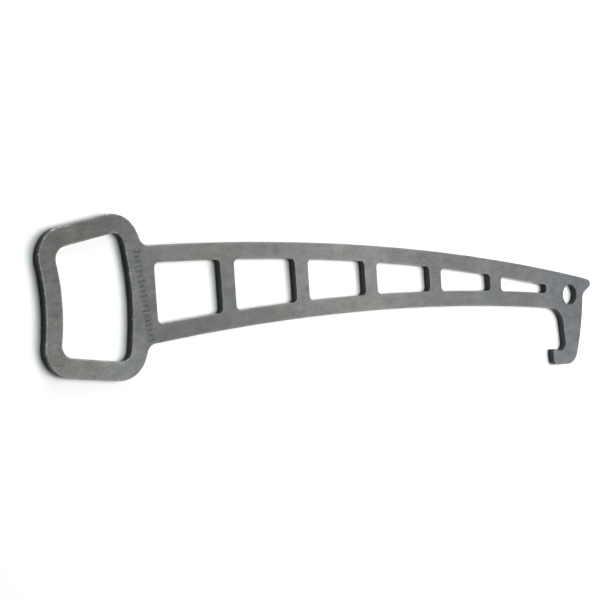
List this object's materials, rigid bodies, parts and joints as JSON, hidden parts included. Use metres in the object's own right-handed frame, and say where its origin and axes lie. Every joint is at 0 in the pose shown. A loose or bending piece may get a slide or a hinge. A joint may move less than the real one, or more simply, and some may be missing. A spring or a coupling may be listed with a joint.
{
  "type": "key ring plate opener",
  "caption": "Flat one-piece steel key-ring opener and nut tool: finger loop, curved ladder-cut arm, lanyard hole, blunt nose and a hook that lifts a cap.",
  "frame": {"origin": "centre of the underside's bounding box, on the surface the plate lies on", "axes": "+X along the tool from the finger loop to the nose, +Z out of the face away from that surface, +Y away from the hook, so the hook hangs to -Y and opens to -X"},
  "size_m": [0.2158, 0.0612, 0.0028],
  "materials": {
    "steel": "tumbled matte stainless steel, cut edges darker"
  },
  "bodies": {
    "root": {"tool_plate": "steel"}
  },
  "joints": []
}
